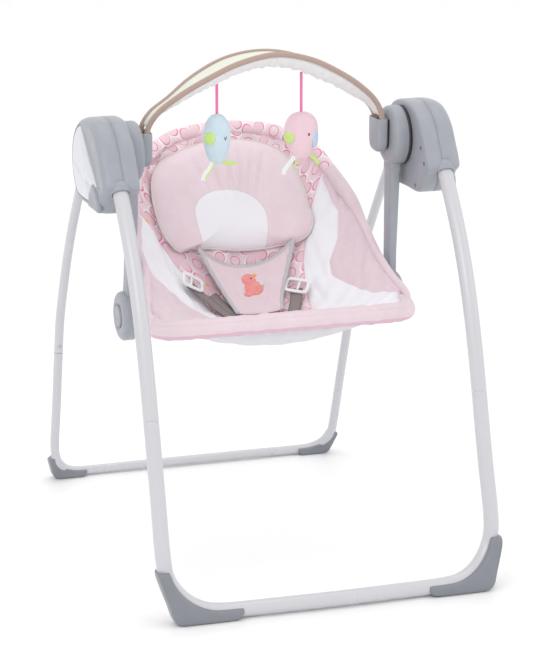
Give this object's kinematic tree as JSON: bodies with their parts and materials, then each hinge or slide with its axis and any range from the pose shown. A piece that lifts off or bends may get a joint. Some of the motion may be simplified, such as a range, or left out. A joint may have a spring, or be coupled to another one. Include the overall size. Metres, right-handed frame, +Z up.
{
  "type": "baby swing",
  "caption": "Folding baby swing: U-shaped tube legs, drive housings, a padded seat on swinging arms and a toy bar with hanging plush toys.",
  "frame": {"origin": "on the floor, in the middle of the four feet", "axes": "+Z up, -Y to the front where the baby faces, +X to the right seen from the front"},
  "size_m": [0.619, 0.818, 0.8449],
  "materials": {
    "grey_plastic": "satin moulded",
    "light_plastic": "semi-gloss moulded",
    "white_plastic": "satin moulded",
    "battery_wrap": "printed film without text",
    "pearl_paint": "semi-gloss powder coat",
    "steel": "turned",
    "pink_velour": "short-pile velour, printed cotton and piping",
    "white_cloth": "woven",
    "cream_mesh": "open knitted mesh",
    "taupe_piping": "woven piping",
    "taupe_webbing": "woven webbing",
    "pink_ribbon": "satin ribbon",
    "blue_plush": "short plush",
    "pink_plush": "short plush"
  },
  "bodies": {
    "base": {"housing_inner_shell_left": "grey_plastic", "housing_inner_shell_right": "grey_plastic", "housing_outer_shell_left": "grey_plastic", "housing_outer_shell_right": "grey_plastic", "side_panel_left": "light_plastic", "side_panel_right": "light_plastic", "front_upper_leg_left": "pearl_paint", "front_upper_leg_right": "pearl_paint", "front_lower_frame": "pearl_paint", "front_foot_left": "grey_plastic", "front_foot_right": "grey_plastic", "shaft_bearing_left": "white_plastic", "shaft_bearing_right": "white_plastic", "drive_motor": "steel", "battery_cell_1": "battery_wrap", "battery_cell_2": "battery_wrap"},
    "rear_frame": {"rear_upper_leg_left": "pearl_paint", "rear_upper_leg_right": "pearl_paint", "rear_knuckle_left": "grey_plastic", "rear_knuckle_right": "grey_plastic", "rear_lower_frame": "pearl_paint", "rear_foot_left": "grey_plastic", "rear_foot_right": "grey_plastic"},
    "swing": {"swing_hub_left": "grey_plastic", "swing_hub_right": "grey_plastic", "swing_arm_left": "grey_plastic", "swing_arm_right": "grey_plastic", "swing_shaft_left": "steel", "swing_shaft_right": "steel", "drive_gear": "white_plastic"},
    "pinion": {"motor_pinion": "white_plastic"},
    "seat": {"seat_knuckle_left": "grey_plastic", "seat_knuckle_right": "grey_plastic", "front_hoop": "pearl_paint", "back_hoop": "pearl_paint", "seat_cover": "pink_velour", "under_sling": "white_cloth", "head_pillow": "pink_velour", "crotch_panel": "pink_velour", "harness_strap_left": "taupe_webbing", "harness_strap_right": "taupe_webbing", "strap_adjuster_left": "white_plastic", "strap_adjuster_right": "white_plastic"},
    "toy_bar": {"toy_bar_clip_left": "grey_plastic", "toy_bar_clip_right": "grey_plastic", "toy_bar_front_rod": "taupe_piping", "toy_bar_rear_rod": "taupe_piping", "toy_bar_sleeve": "cream_mesh"},
    "toy_left": {"toy_left": "blue_plush", "toy_ribbon_left": "pink_ribbon"},
    "toy_right": {"toy_right": "pink_plush", "toy_ribbon_right": "pink_ribbon"},
    "speed_knob": {"speed_knob": "grey_plastic"},
    "fold_button_left": {"fold_button_left": "grey_plastic"},
    "fold_button_right": {"fold_button_right": "grey_plastic"},
    "recline_button_left": {"recline_button_left": "grey_plastic"},
    "recline_button_right": {"recline_button_right": "grey_plastic"}
  },
  "joints": [
    {"name": "rear_fold", "type": "hinge", "parent": "base", "child": "rear_frame", "pos_m": [0, 0.04, 0.662], "axis": [-1, 0, 0], "range_deg": [0, 34]},
    {"name": "seat_swing", "type": "hinge", "parent": "base", "child": "swing", "pos_m": [0, -0.025, 0.683], "axis": [1, 0, 0], "range_deg": [-14, 14]},
    {"name": "pinion_spin", "type": "hinge", "parent": "base", "child": "pinion", "pos_m": [0.265, -0.0432, 0.6516], "axis": [1, 0, 0], "range_deg": [-75, 75]},
    {"name": "seat_recline", "type": "hinge", "parent": "swing", "child": "seat", "pos_m": [0, -0.008, 0.403], "axis": [-1, 0, 0], "range_deg": [0, 12]},
    {"name": "toy_bar_tilt", "type": "hinge", "parent": "swing", "child": "toy_bar", "pos_m": [0, -0.025, 0.683], "axis": [-1, 0, 0], "range_deg": [-25, 60]},
    {"name": "toy_sway_left", "type": "hinge", "parent": "toy_bar", "child": "toy_left", "pos_m": [-0.086, -0.043, 0.7975], "axis": [1, 0, 0], "range_deg": [-25, 25]},
    {"name": "toy_sway_right", "type": "hinge", "parent": "toy_bar", "child": "toy_right", "pos_m": [0.058, -0.047, 0.8035], "axis": [1, 0, 0], "range_deg": [-25, 25]},
    {"name": "speed_knob_turn", "type": "hinge", "parent": "base", "child": "speed_knob", "pos_m": [0.307, 0, 0.672], "axis": [1, 0, 0], "range_deg": [0, 270]},
    {"name": "fold_press_left", "type": "slide", "parent": "base", "child": "fold_button_left", "axis": [1, 0, 0], "range_m": [0, 0.0025], "stiffness_N_per_m": 400},
    {"name": "fold_press_right", "type": "slide", "parent": "base", "child": "fold_button_right", "axis": [-1, 0, 0], "range_m": [0, 0.0025], "stiffness_N_per_m": 400},
    {"name": "recline_press_left", "type": "slide", "parent": "swing", "child": "recline_button_left", "axis": [1, 0, 0], "range_m": [0, 0.003], "stiffness_N_per_m": 400},
    {"name": "recline_press_right", "type": "slide", "parent": "swing", "child": "recline_button_right", "axis": [-1, 0, 0], "range_m": [0, 0.003], "stiffness_N_per_m": 400}
  ],
  "couplings": [
    {"joint": "pinion_spin", "follows": "seat_swing", "ratio": -5}
  ]
}
